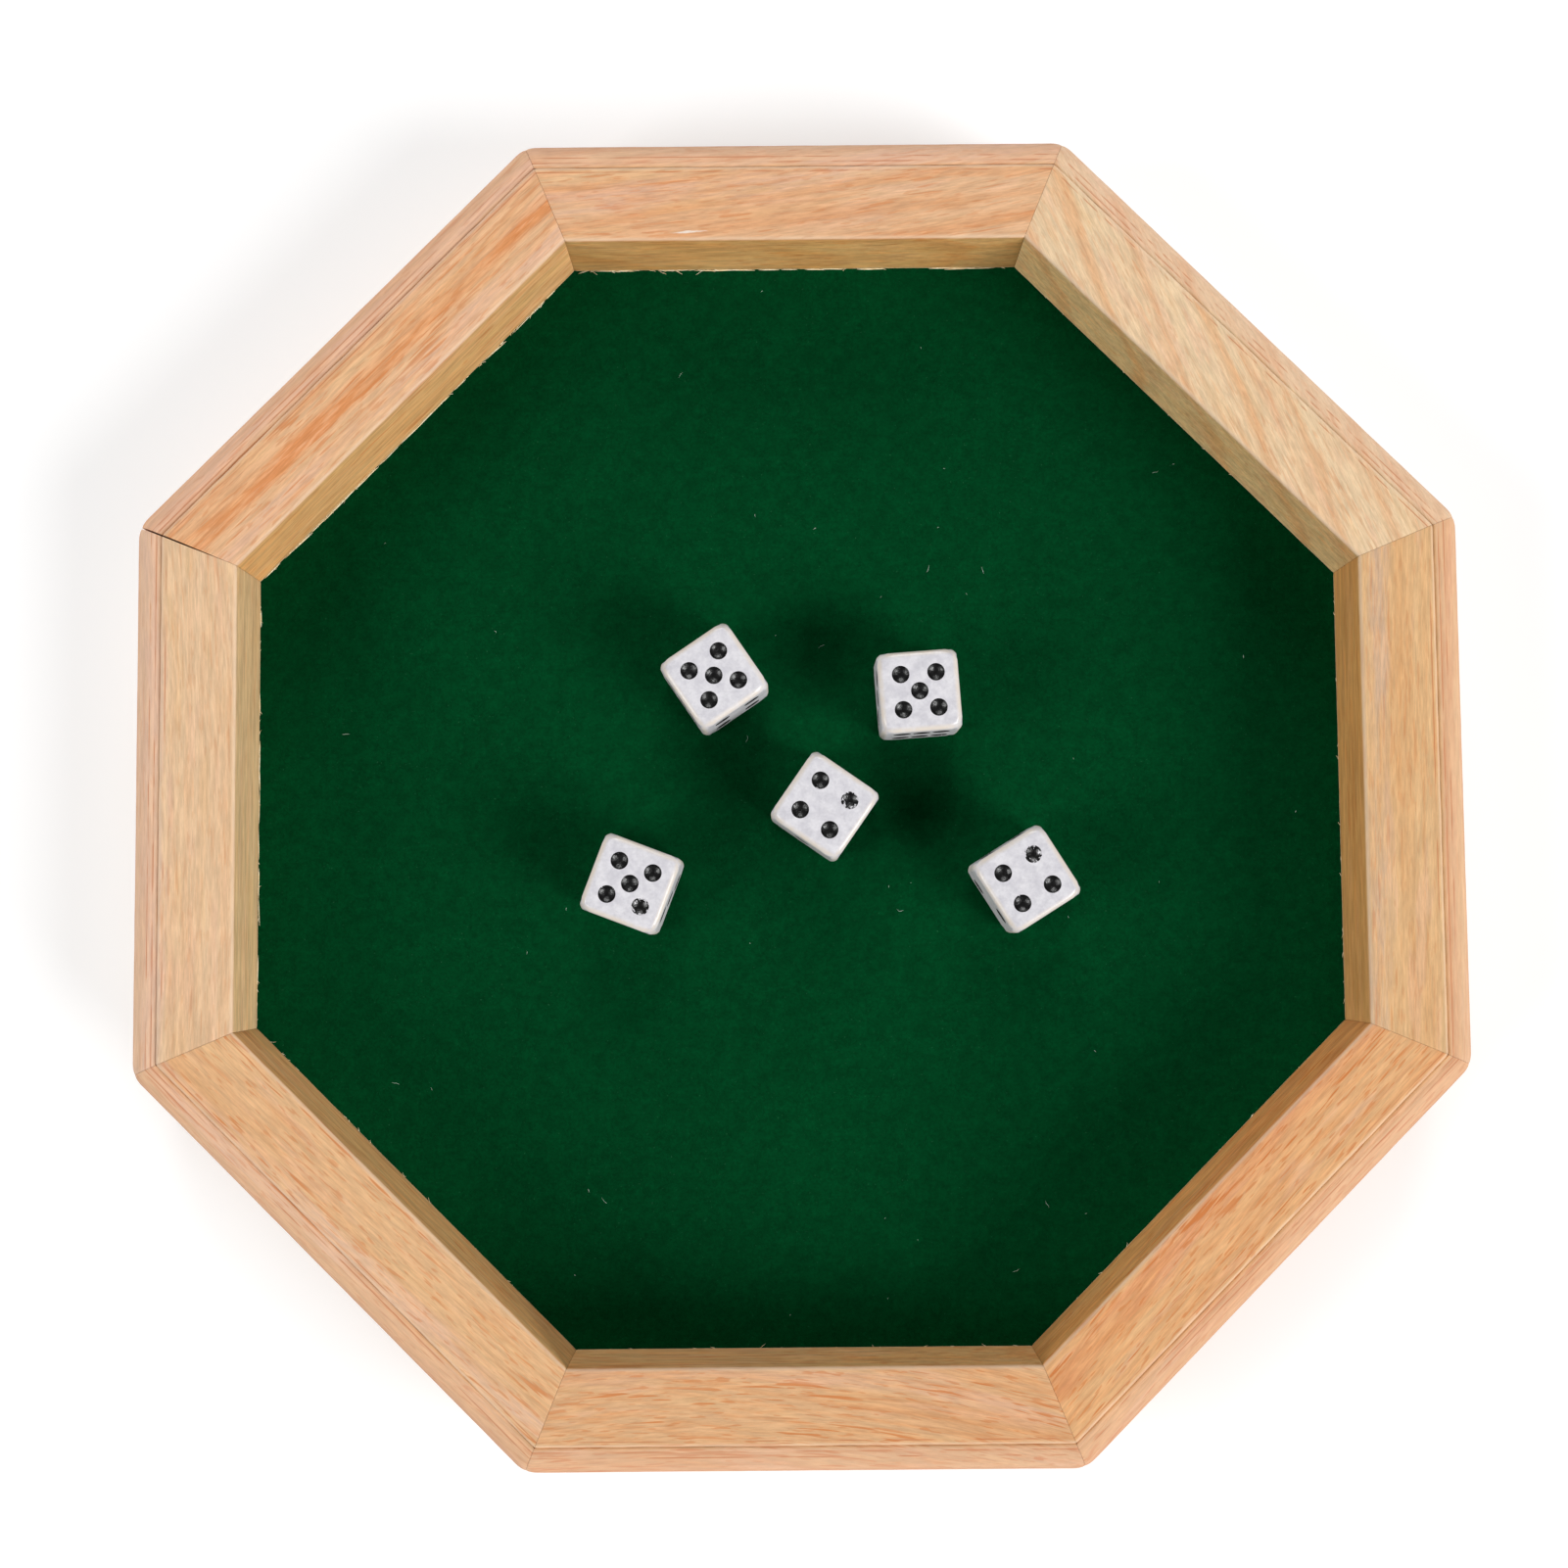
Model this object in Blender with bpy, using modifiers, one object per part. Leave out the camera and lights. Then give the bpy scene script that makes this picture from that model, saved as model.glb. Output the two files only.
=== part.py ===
"""Octagonal wooden dice tray with a felt-lined base and five dice.

Eight rails cut from one moulding are mitred into an octagonal frame, with a V-nail across
each joint. A thin panel with felt on top sits in a rebate on the underside, held by panel
pins driven up into the rails' lips. Five dice rest loose on the felt.

Metres, +Z up. The origin is the centre of the underside, +X points at the right-hand rail
and +Y at the back rail.
"""

import math

import bmesh
import bpy
from mathutils import Matrix, Vector

GAP = 0.0003                        # air left between two pieces that touch

# Frame
SIDES = ("right", "back_right", "back", "back_left", "left", "front_left", "front", "front_right")
INNER_APOTHEM = 0.110               # centre to the rails' inner faces
OUTER_APOTHEM = 0.1305              # centre to the rails' outer faces
RIM_HEIGHT = 0.028
OVOLO_RADIUS = 0.0045               # quarter round along the top outer edge
QUIRK_DEPTH = 0.001                 # step down from the flat top to the quarter round
QUIRK_APOTHEM = 0.1249
ARRIS_RADIUS = 0.0008               # softened edges of the flat top
FOOT_CHAMFER = 0.0005

# Rebate, panel and felt, from the underside up
REBATE_WIDTH = 0.0075
PANEL_UNDERSIDE = 0.0037
PANEL_THICKNESS = 0.003
FELT_THICKNESS = 0.001
FELT_UNDERSIDE = PANEL_UNDERSIDE + PANEL_THICKNESS + GAP
FELT_TOP = FELT_UNDERSIDE + FELT_THICKNESS
LIP_HEIGHT = FELT_TOP + GAP
REBATE_APOTHEM = INNER_APOTHEM + REBATE_WIDTH

# Panel pins
PIN_SPACING = 0.054                 # between the two pins of one rail
PIN_APOTHEM = INNER_APOTHEM + REBATE_WIDTH / 2
PIN_LENGTH = 0.013
PIN_RADIUS = 0.0006
PIN_POINT = 0.0018
PIN_HEAD_RADIUS = 0.0012
PIN_HEAD_THICKNESS = 0.0005
PIN_SEGMENTS = 12

# V-nails, driven in from below across each mitre
NAIL_HEIGHT = 0.007
NAIL_THICKNESS = 0.0008
NAIL_LEG = 0.005
NAIL_HALF_ANGLE = math.radians(50)
NAIL_RADIUS = 0.1315                # centre of the tray to the point of the V

# Dice: an ordinary 16 mm die with drilled pips
DIE_SIZE = 0.016
DIE_EDGE_RADIUS = 0.0012
PIP_RADIUS = 0.0017
PIP_DEPTH = 0.0007
PIP_OFFSET = 0.0035                 # corner pips from the middle of a face
SIX_ROW_OFFSET = 0.0039             # end pips of the six, along its rows
PIP_SEGMENTS = 10
# name: (x, y, number on top, number of one side, heading of that side in degrees)
DICE = {
    "die_1": (-0.0167, 0.0236, 5, 4, -56),
    "die_2": (0.0239, 0.0202, 5, 6, -86),
    "die_3": (-0.0334, -0.0173, 5, 3, -21),
    "die_4": (0.0050, -0.0022, 4, 1, -125),
    "die_5": (0.0446, -0.0170, 4, 2, 212),
}
# Outward direction of each number's face on the unturned die; opposite faces add up to seven
FACES = {
    1: Vector((0, 0, 1)),
    2: Vector((0, -1, 0)),
    3: Vector((1, 0, 0)),
    4: Vector((-1, 0, 0)),
    5: Vector((0, 1, 0)),
    6: Vector((0, 0, -1)),
}

CORNER_ANGLE = math.pi / len(SIDES)
SIDE_ANGLE = 2 * CORNER_ANGLE


def clear_scene():
    """Remove the start-up objects."""
    for obj in list(bpy.data.objects):
        bpy.data.objects.remove(obj, do_unlink=True)


def new_collection(name):
    """A collection linked to the scene."""
    collection = bpy.data.collections.new(name)
    bpy.context.scene.collection.children.link(collection)
    return collection


def new_material(name, colour, roughness, metallic=0.0):
    """A plain Principled material."""
    material = bpy.data.materials.new(name)
    material.use_nodes = True
    shader = material.node_tree.nodes["Principled BSDF"]
    shader.inputs["Base Color"].default_value = (*colour, 1)
    shader.inputs["Roughness"].default_value = roughness
    shader.inputs["Metallic"].default_value = metallic
    return material


def add_object(name, mesh, collection, parent=None):
    """An object of this mesh in one collection."""
    obj = bpy.data.objects.new(name, mesh)
    collection.objects.link(obj)
    obj.parent = parent
    return obj


def adopt(name, collection, parent=None):
    """Name the primitive just added, and move it to a collection."""
    obj = bpy.context.object
    for home in list(obj.users_collection):
        home.objects.unlink(obj)
    obj.name = name
    obj.data.name = name
    collection.objects.link(obj)
    obj.parent = parent
    return obj


def make_cutter(obj):
    """Keep an object out of renders and out of the model."""
    obj.hide_render = True
    obj.display_type = "WIRE"
    return obj


def cut(obj, cutters):
    """Subtract every object of a collection."""
    boolean = obj.modifiers.new(cutters.name, "BOOLEAN")
    boolean.operation = "DIFFERENCE"
    boolean.solver = "EXACT"
    boolean.operand_type = "COLLECTION"
    boolean.collection = cutters


def evaluated_mesh(obj):
    """The object's mesh with its modifiers applied; the object itself is removed."""
    graph = bpy.context.evaluated_depsgraph_get()
    mesh = bpy.data.meshes.new_from_object(obj.evaluated_get(graph))
    mesh.name = obj.name
    bpy.data.objects.remove(obj, do_unlink=True)
    return mesh


def plate_mesh(name, outline, thickness):
    """A flat closed outline as a solid, centred on its own plane."""
    curve = bpy.data.curves.new(name, "CURVE")
    curve.dimensions = "2D"
    curve.fill_mode = "BOTH"
    curve.extrude = thickness / 2
    spline = curve.splines.new("POLY")
    spline.points.add(len(outline) - 1)
    for point, (x, y) in zip(spline.points, outline):
        point.co = (x, y, 0, 1)
    spline.use_cyclic_u = True
    mesh = evaluated_mesh(add_object(name, curve, bpy.context.scene.collection))
    shape = bmesh.new()
    shape.from_mesh(mesh)
    bmesh.ops.remove_doubles(shape, verts=shape.verts, dist=1e-6)
    bmesh.ops.recalc_face_normals(shape, faces=shape.faces)
    shape.to_mesh(mesh)
    shape.free()
    return mesh


def octagon(name, apothem, underside, thickness, collection, parent):
    """An octagonal plate whose flat sides match the frame's."""
    bpy.ops.mesh.primitive_cylinder_add(
        vertices=len(SIDES),
        radius=apothem / math.cos(CORNER_ANGLE),
        depth=thickness,
        location=(0, 0, underside + thickness / 2),
        rotation=(0, 0, CORNER_ANGLE),
    )
    return adopt(name, collection, parent)


def arc(centre, radius, start, end, steps):
    """Points along an arc, both ends included; angles in degrees."""
    points = []
    for step in range(steps + 1):
        angle = math.radians(start + (end - start) * step / steps)
        points.append((centre[0] + radius * math.cos(angle), centre[1] + radius * math.sin(angle)))
    return points


def rail_profile():
    """Section of the moulding, counter-clockwise: distance from the centre, height."""
    ovolo_top = RIM_HEIGHT - QUIRK_DEPTH
    shoulder = RIM_HEIGHT - ARRIS_RADIUS
    foot = [
        (REBATE_APOTHEM, 0),
        (OUTER_APOTHEM - FOOT_CHAMFER, 0),
        (OUTER_APOTHEM, FOOT_CHAMFER),
    ]
    ovolo = arc((OUTER_APOTHEM - OVOLO_RADIUS, ovolo_top - OVOLO_RADIUS), OVOLO_RADIUS, 0, 90, 6)
    quirk = [(QUIRK_APOTHEM, ovolo_top)]
    outer_arris = arc((QUIRK_APOTHEM - ARRIS_RADIUS, shoulder), ARRIS_RADIUS, 0, 90, 3)
    inner_arris = arc((INNER_APOTHEM + ARRIS_RADIUS, shoulder), ARRIS_RADIUS, 90, 180, 3)
    lip = [(INNER_APOTHEM, LIP_HEIGHT), (REBATE_APOTHEM, LIP_HEIGHT)]
    return foot + ovolo + quirk + outer_arris + inner_arris + lip


def rail_mesh():
    """The right-hand rail: the moulding along Y, with a mitre at each end."""
    mesh = plate_mesh("rail", rail_profile(), 3 * OUTER_APOTHEM * math.tan(CORNER_ANGLE))
    mesh.transform(Matrix.Rotation(math.pi / 2, 4, "X"))
    shape = bmesh.new()
    shape.from_mesh(mesh)
    for end in (1, -1):
        outward = Vector((-math.sin(CORNER_ANGLE), end * math.cos(CORNER_ANGLE), 0))
        sawn = bmesh.ops.bisect_plane(
            shape,
            geom=shape.verts[:] + shape.edges[:] + shape.faces[:],
            plane_co=-outward * GAP / 2,
            plane_no=outward,
            clear_outer=True,
        )
        edges = [part for part in sawn["geom_cut"] if isinstance(part, bmesh.types.BMEdge)]
        bmesh.ops.edgenet_fill(shape, edges=edges)
    bmesh.ops.recalc_face_normals(shape, faces=shape.faces)
    shape.to_mesh(mesh)
    shape.free()
    mesh.shade_smooth()
    mesh.set_sharp_from_angle(angle=math.radians(30))
    return mesh


def make_rails(collection, parent, material, cutters):
    """Eight rails that share one moulding, cut for their nails and pins."""
    mesh = rail_mesh()
    mesh.materials.append(material)
    for index, side in enumerate(SIDES):
        rail = add_object(f"rail_{side}", mesh, collection, parent)
        rail.rotation_euler.z = index * SIDE_ANGLE
        for tools in cutters:
            cut(rail, tools)


def vee_outline(thickness, leg):
    """A V in plan, its point at the origin and its mouth towards +X."""
    half = thickness / 2
    back = half / math.sin(NAIL_HALF_ANGLE)
    outline = [(back, 0)]
    for side in (1, -1):
        along = Vector((math.cos(NAIL_HALF_ANGLE), side * math.sin(NAIL_HALF_ANGLE)))
        across = Vector((-along.y, along.x)) * half * side
        ends = [along * leg - across, along * leg + across]
        outline += [tuple(end) for end in ends[::side]]
        if side == 1:
            outline.append((-back, 0))
    return outline


def set_at_corner(obj, index, height):
    """Stand a V on the mitre that follows rail number index."""
    angle = index * SIDE_ANGLE + CORNER_ANGLE
    obj.location = (NAIL_RADIUS * math.cos(angle), NAIL_RADIUS * math.sin(angle), height)
    obj.rotation_euler.z = angle


def make_corner_nails(collection, parent, material, cutters):
    """A V-nail in a slot across each mitre, just above the underside."""
    nail = plate_mesh("corner_nail", vee_outline(NAIL_THICKNESS, NAIL_LEG), NAIL_HEIGHT)
    nail.materials.append(material)
    slot_outline = vee_outline(NAIL_THICKNESS + 2 * GAP, NAIL_LEG + GAP)
    slot = plate_mesh("corner_slot", slot_outline, 2 * (NAIL_HEIGHT + 2 * GAP))
    for index in range(len(SIDES)):
        obj = add_object(f"corner_nail_{index + 1}", nail, collection, parent)
        set_at_corner(obj, index, GAP + NAIL_HEIGHT / 2)
        cutter = make_cutter(add_object(f"corner_slot_{index + 1}", slot, cutters, parent))
        set_at_corner(cutter, index, 0)


def pin_places():
    """Where the panel pins stand, two along each rail."""
    for index in range(len(SIDES)):
        turn = Matrix.Rotation(index * SIDE_ANGLE, 3, "Z")
        for end in (-1, 1):
            yield turn @ Vector((PIN_APOTHEM, end * PIN_SPACING / 2, PANEL_UNDERSIDE - GAP))


def pin_profile_mesh():
    """Half section of a pin that points up, from its point down to its head."""
    mesh = bpy.data.meshes.new("panel_pin")
    outline = [
        (0, PIN_LENGTH),
        (PIN_RADIUS, PIN_LENGTH - PIN_POINT),
        (PIN_RADIUS, 0),
        (PIN_HEAD_RADIUS, 0),
        (PIN_HEAD_RADIUS, -PIN_HEAD_THICKNESS),
        (0, -PIN_HEAD_THICKNESS),
    ]
    points = [(radius, 0, height) for radius, height in outline]
    mesh.from_pydata(points, [(i, i + 1) for i in range(len(points) - 1)], [])
    return mesh


def make_panel_pins(collection, parent, material, cutters):
    """Pins up through panel and felt into the rails, with a hole for each."""
    profile = pin_profile_mesh()
    profile.materials.append(material)
    for number, place in enumerate(pin_places(), 1):
        pin = add_object(f"panel_pin_{number:02d}", profile, collection, parent)
        pin.location = place
        turned = pin.modifiers.new("turned", "SCREW")
        turned.steps = PIN_SEGMENTS
        turned.render_steps = PIN_SEGMENTS
        turned.use_merge_vertices = True
        turned.merge_threshold = 1e-5
        bpy.ops.mesh.primitive_cylinder_add(
            vertices=PIN_SEGMENTS,
            radius=PIN_RADIUS + GAP,
            depth=PIN_LENGTH + 2 * GAP,
            location=place + Vector((0, 0, PIN_LENGTH / 2)),
        )
        make_cutter(adopt(f"pin_hole_{number:02d}", cutters, parent))


def pip_places(number):
    """Pips of one number as offsets across and along its face."""
    if number == 6:
        return [(x, y) for x in (-SIX_ROW_OFFSET, 0, SIX_ROW_OFFSET) for y in (-PIP_OFFSET, PIP_OFFSET)]
    places = [(0, 0)] if number % 2 else []
    if number > 1:
        places += [(PIP_OFFSET, PIP_OFFSET), (-PIP_OFFSET, -PIP_OFFSET)]
    if number > 3:
        places += [(-PIP_OFFSET, PIP_OFFSET), (PIP_OFFSET, -PIP_OFFSET)]
    return places


def face_axes(number):
    """Two axes in the plane of a face: the first is the row direction of the six."""
    outward = FACES[number]
    across = Vector((0, 1, 0)) if abs(outward.x) > 0.5 else Vector((1, 0, 0))
    along = Vector((0, 1, 0)) if abs(outward.z) > 0.5 else Vector((0, 0, 1))
    if number == 2:
        across = -across
    return across, along


def pip_cutter(cutters):
    """Lens-shaped tools for all twenty-one pips of a die, as one mesh."""
    shape = bmesh.new()
    stretch = Matrix.Diagonal((PIP_RADIUS, PIP_RADIUS, PIP_DEPTH, 1))
    for number, outward in FACES.items():
        across, along = face_axes(number)
        turn = Vector((0, 0, 1)).rotation_difference(outward).to_matrix().to_4x4()
        for x, y in pip_places(number):
            centre = outward * DIE_SIZE / 2 + across * x + along * y
            bmesh.ops.create_uvsphere(
                shape,
                u_segments=PIP_SEGMENTS,
                v_segments=3,
                radius=1,
                matrix=Matrix.Translation(centre) @ turn @ stretch,
            )
    mesh = bpy.data.meshes.new("pips")
    shape.to_mesh(mesh)
    shape.free()
    return make_cutter(add_object("pips", mesh, cutters))


def die_mesh(cutters):
    """A cube with rounded edges and a hollow for every pip."""
    pip_cutter(cutters)
    bpy.ops.mesh.primitive_cube_add(size=DIE_SIZE)
    blank = adopt("die", bpy.context.scene.collection)
    rounding = blank.modifiers.new("edges", "BEVEL")
    rounding.width = DIE_EDGE_RADIUS
    rounding.segments = 3
    cut(blank, cutters)
    mesh = evaluated_mesh(blank)
    mesh.shade_smooth()
    mesh.set_sharp_from_angle(angle=math.radians(35))
    return mesh


def die_turn(top, side, heading):
    """Rotation that puts one number on top and another facing a heading."""
    local = Matrix((FACES[side], FACES[top].cross(FACES[side]), FACES[top]))
    facing = Vector((math.cos(heading), math.sin(heading), 0))
    up = Vector((0, 0, 1))
    world = Matrix((facing, up.cross(facing), up)).transposed()
    return (world @ local).to_4x4()


def make_dice(collection, material, cutters):
    """Five dice, each resting on the felt."""
    mesh = die_mesh(cutters)
    mesh.materials.append(material)
    height = FELT_TOP + GAP + DIE_SIZE / 2
    for name, (x, y, top, side, heading) in DICE.items():
        die = add_object(name, mesh, collection)
        die.matrix_world = Matrix.Translation((x, y, height)) @ die_turn(top, side, math.radians(heading))


def main():
    clear_scene()
    collection = new_collection("dice_tray")
    pin_holes = new_collection("pin_holes")
    corner_slots = new_collection("corner_slots")
    pips = new_collection("pip_tools")

    pine = new_material("pine_rail", (0.72, 0.43, 0.21), 0.5)
    plywood = new_material("plywood_panel", (0.62, 0.42, 0.22), 0.65)
    felt = new_material("green_felt", (0.0, 0.042, 0.011), 0.95)
    steel = new_material("bright_steel", (0.55, 0.55, 0.56), 0.35, metallic=1.0)
    plastic = new_material("white_dice", (0.74, 0.73, 0.76), 0.25)

    tray = bpy.data.objects.new("tray", None)
    collection.objects.link(tray)
    make_panel_pins(collection, tray, steel, pin_holes)
    make_corner_nails(collection, tray, steel, corner_slots)
    make_rails(collection, tray, pine, (pin_holes, corner_slots))

    plate_apothem = REBATE_APOTHEM - GAP
    panel = octagon("base_panel", plate_apothem, PANEL_UNDERSIDE, PANEL_THICKNESS, collection, tray)
    panel.data.materials.append(plywood)
    lining = octagon("felt_lining", plate_apothem, FELT_UNDERSIDE, FELT_THICKNESS, collection, tray)
    lining.data.materials.append(felt)
    for plate in (panel, lining):
        cut(plate, pin_holes)

    make_dice(collection, plastic, pips)


main()
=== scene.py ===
"""Looks for the octagonal dice tray: pine rails, green felt, plywood panel, steel fasteners
and five white dice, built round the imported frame.

Metres, +Z up, the frame's own coordinates. A rail's own axes are: along its length, across
it (the distance from the tray's centre) and up.
"""

import random
from math import asin, atan, cos, dist, pi, radians, sin, sqrt, tan

import bmesh
import bpy
import numpy as np
from mathutils import Matrix, Vector, noise


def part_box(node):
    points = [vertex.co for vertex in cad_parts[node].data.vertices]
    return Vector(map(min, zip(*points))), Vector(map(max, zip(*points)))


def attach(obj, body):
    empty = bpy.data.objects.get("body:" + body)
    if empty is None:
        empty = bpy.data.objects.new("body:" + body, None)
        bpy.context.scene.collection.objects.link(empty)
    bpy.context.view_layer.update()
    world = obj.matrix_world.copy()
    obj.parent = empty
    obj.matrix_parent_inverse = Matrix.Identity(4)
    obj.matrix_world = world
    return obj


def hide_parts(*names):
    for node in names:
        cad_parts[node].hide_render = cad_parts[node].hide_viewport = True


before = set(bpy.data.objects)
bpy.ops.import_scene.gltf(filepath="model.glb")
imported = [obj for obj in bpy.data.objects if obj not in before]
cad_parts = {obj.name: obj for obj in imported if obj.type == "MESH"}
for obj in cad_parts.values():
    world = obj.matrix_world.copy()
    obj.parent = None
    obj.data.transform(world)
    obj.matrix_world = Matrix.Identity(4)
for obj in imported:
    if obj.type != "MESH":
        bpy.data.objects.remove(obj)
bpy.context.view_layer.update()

MM = 0.001
SIDES = ("right", "back_right", "back", "back_left", "left", "front_left", "front", "front_right")
CORNER_ANGLE = pi / len(SIDES)
SIDE_ANGLE = 2 * CORNER_ANGLE

# Sizes read from the frame
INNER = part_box("rail_right")[0].x
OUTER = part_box("rail_right")[1].x
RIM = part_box("rail_right")[1].z
FELT_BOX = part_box("felt_lining")
PANEL_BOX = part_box("base_panel")
DIE_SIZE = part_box("die_1")[1].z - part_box("die_1")[0].z
FELT_TOP = FELT_BOX[1].z

# Moulding
QUIRK = 124.9 * MM  # foot of the small step between flat top and quarter round
QUIRK_DEPTH = 0.6 * MM
OVOLO_RADIUS = 4.5 * MM
ARRIS_RADIUS = 0.8 * MM
NOTCH_DEPTH = 0.08 * MM  # fine line where the quarter round starts
FOOT_RADIUS = 0.5 * MM
EASE_RADIUS = 0.3 * MM  # sanded inner edge of the underside
REBATE = INNER + 7.5 * MM
LIP = FELT_TOP + 0.3 * MM
SECTION_STEP = 1.6 * MM
MITRE_GAP = 0.025 * MM  # half the joint line
OPEN_MITRE_GAP = 0.14 * MM  # half of what the open joint adds at its outer end
OPEN_MITRE = 3  # the mitre that follows this rail number
OPEN_MITRE_REACH = (122 * MM, 130 * MM)
MITRE_EASE = 0.06 * MM
MITRE_EASE_LENGTH = 0.35 * MM
CORNER_RADIUS = 6.0 * MM  # the outer corners are sanded round, seen from above
STATIONS = 96  # sections along a rail
WAVE_HEIGHT = 0.035 * MM  # unevenness left by the sanding

# Dice: number on top, number of one side, heading of that side in degrees
DICE = {
    "die_1": (5, 4, -56), "die_2": (5, 6, -86), "die_3": (5, 3, -21),
    "die_4": (4, 1, -125), "die_5": (4, 2, 212),
}
CHIPPED_PIPS = {"die_3": 11, "die_4": 9, "die_5": 9}  # in the order of pip_centres
FACES = {
    1: Vector((0, 0, 1)), 2: Vector((0, -1, 0)), 3: Vector((1, 0, 0)),
    4: Vector((-1, 0, 0)), 5: Vector((0, 1, 0)), 6: Vector((0, 0, -1)),
}
DIE_EDGE_RADIUS = 1.2 * MM
DIE_FLAT = DIE_SIZE / 2 - DIE_EDGE_RADIUS
DIE_CORNER_REACH = 12.1 * MM  # past this distance from the middle the corners are tumbled
DIE_CORNER_KEEP = 0.35  # share of the corner that is left past it
EDGE_STEPS = 5
FLAT_STEPS = 12
PIP_RADIUS = 1.74 * MM
PIP_DEPTH = 0.8 * MM
PIP_OFFSET = 3.5 * MM
SIX_ROW_OFFSET = 3.9 * MM
DIE_SINK = 0.25 * MM  # how far a die settles into the nap

# V-nails, pins, panel and felt
NAIL_HALF_ANGLE = radians(50)
NAIL_RADIUS = 131.5 * MM  # from the tray's centre to the nail's point
NAIL_LEG = 5.0 * MM
NAIL_THICKNESS = 0.8 * MM
NAIL_HEIGHT = 7.0 * MM
NAIL_EASE = 0.08 * MM
PIN_APOTHEM = INNER + 3.75 * MM
PIN_SPACING = 54 * MM
PIN_HEAD_HEIGHT = 0.5 * MM
PANEL_EASE = 0.2 * MM
FELT_GRID = 150
FELT_WAVES = ((45, 0.09 * MM), (330, 0.05 * MM))  # how fine, how high

# Loose fibres: whiskers and longer slivers of torn wood at the foot of each wall
LINT_COUNT = 46
LINT_SEED = 11
TORN_SEED = 5
WHISKERS = {
    "right": 22, "back_right": 14, "back": 60, "back_left": 70,
    "left": 30, "front_left": 24, "front": 20, "front_right": 12,
}
SLIVERS = {"back": 26, "back_left": 40, "left": 12}

# Studio: heading of each soft light, and its share of LIGHT_LEVEL on a level surface
LIGHTS = {"right_softbox": (-32, 0.46), "left_softbox": (200, 0.28), "back_softbox": (90, 0.23)}
LIGHT_LEVEL = 1.08
LIGHT_ELEVATION = radians(30)
LIGHT_WIDTH = radians(30)
FILL_LEVEL = 0.10
WHITE = (1, 1, 1, 1)
FLOOR_SHARE = 0.55
FLOOR_GAP = 0.05 * MM  # keeps the floor from meeting the undersides in one plane
FLOOR_GLOW = 0.50
FLOOR_SIZE = 60
CAMERA_LENS = 49.47
CAMERA_PLACE = (-0.0029, -0.0274, 0.4465)
CAMERA_TURN = (3.98, 0.05, -0.48)  # degrees


def polar(radius, angle, *height):
    return (radius * cos(angle), radius * sin(angle), *height)


# ---------------- node materials

def linear(red, green, blue):
    """A display colour, 0 to 255, as linear RGBA."""
    def channel(value):
        value /= 255
        return value / 12.92 if value <= 0.04045 else ((value + 0.055) / 1.055) ** 2.4
    return (channel(red), channel(green), channel(blue), 1)


class Graph:
    """One node material under construction."""

    def __init__(self, name):
        self.material = bpy.data.materials.new(name)
        self.material.use_nodes = True
        self.tree = self.material.node_tree
        self.shader = self.tree.nodes["Principled BSDF"]

    def plug(self, socket, value):
        if isinstance(value, bpy.types.NodeSocket):
            self.tree.links.new(value, socket)
        else:
            socket.default_value = value

    def node(self, kind, inputs, **settings):
        made = self.tree.nodes.new("ShaderNode" + kind)
        for key, value in settings.items():
            setattr(made, key, value)
        for key, value in inputs.items():
            self.plug(made.inputs[key], value)
        return made

    def attribute(self, name, output="Fac"):
        return self.node("Attribute", {}, attribute_name=name).outputs[output]

    def position(self):
        return self.node("TexCoord", {}).outputs["Object"]

    def math(self, operation, *values):
        return self.node("Math", dict(enumerate(values)), operation=operation).outputs[0]

    def plus(self, first, second):
        return self.math("ADD", first, second)

    def minus(self, first, second):
        return self.math("SUBTRACT", first, second)

    def times(self, first, second):
        return self.math("MULTIPLY", first, second)

    def times_plus(self, value, factor, rest):
        return self.math("MULTIPLY_ADD", value, factor, rest)

    def shift(self, place, by):
        return self.node("VectorMath", {0: place, 1: by}, operation="ADD").outputs["Vector"]

    def dot(self, place, direction):
        made = self.node("VectorMath", {0: place, 1: direction}, operation="DOT_PRODUCT")
        return made.outputs["Value"]

    def noise(self, place, stretch, detail=2.0, roughness=0.5, distortion=0.0):
        """Noise whose lumps have about the size 1 / stretch, which may differ each way."""
        if not isinstance(stretch, tuple):
            stretch = (stretch, stretch, stretch)
        scaled = self.node("VectorMath", {0: place, 1: stretch}, operation="MULTIPLY")
        inputs = {"Vector": scaled.outputs["Vector"], "Scale": 1.0, "Detail": detail,
                  "Roughness": roughness, "Distortion": distortion}
        return self.node("TexNoise", inputs).outputs["Fac"]

    def ease(self, value, low, high, start=0.0, end=1.0):
        """Start below low, end above high, and a smooth change between them."""
        inputs = {"Value": value, "From Min": low, "From Max": high, "To Min": start, "To Max": end}
        return self.node("MapRange", inputs, interpolation_type="SMOOTHSTEP").outputs["Result"]

    def mix(self, factor, first, second, blend="MIX"):
        made = self.node("Mix", {}, data_type="RGBA", blend_type=blend)
        for index, value in ((0, factor), (6, first), (7, second)):
            self.plug(made.inputs[index], value)
        return made.outputs[2]

    def tint(self, colour, factor, shade):
        """The colour mixed with this much of a display colour."""
        return self.mix(factor, colour, linear(*shade))

    def tone(self, colour, amount):
        """The colour times a grey amount."""
        grey = self.node("CombineColor", {0: amount, 1: amount, 2: amount}).outputs[0]
        return self.mix(1.0, colour, grey, "MULTIPLY")

    def bump(self, height, depth, strength, below=None):
        """A bump of this depth in metres where height goes from 0 to 1."""
        inputs = {"Height": height, "Distance": depth, "Strength": strength}
        if below is not None:
            inputs["Normal"] = below
        return self.node("Bump", inputs).outputs["Normal"]

    def finish(self, **sockets):
        for key, value in sockets.items():
            name = key.replace("_", " ").title().replace("Ior", "IOR")
            self.plug(self.shader.inputs[name], value)
        return self.material


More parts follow.
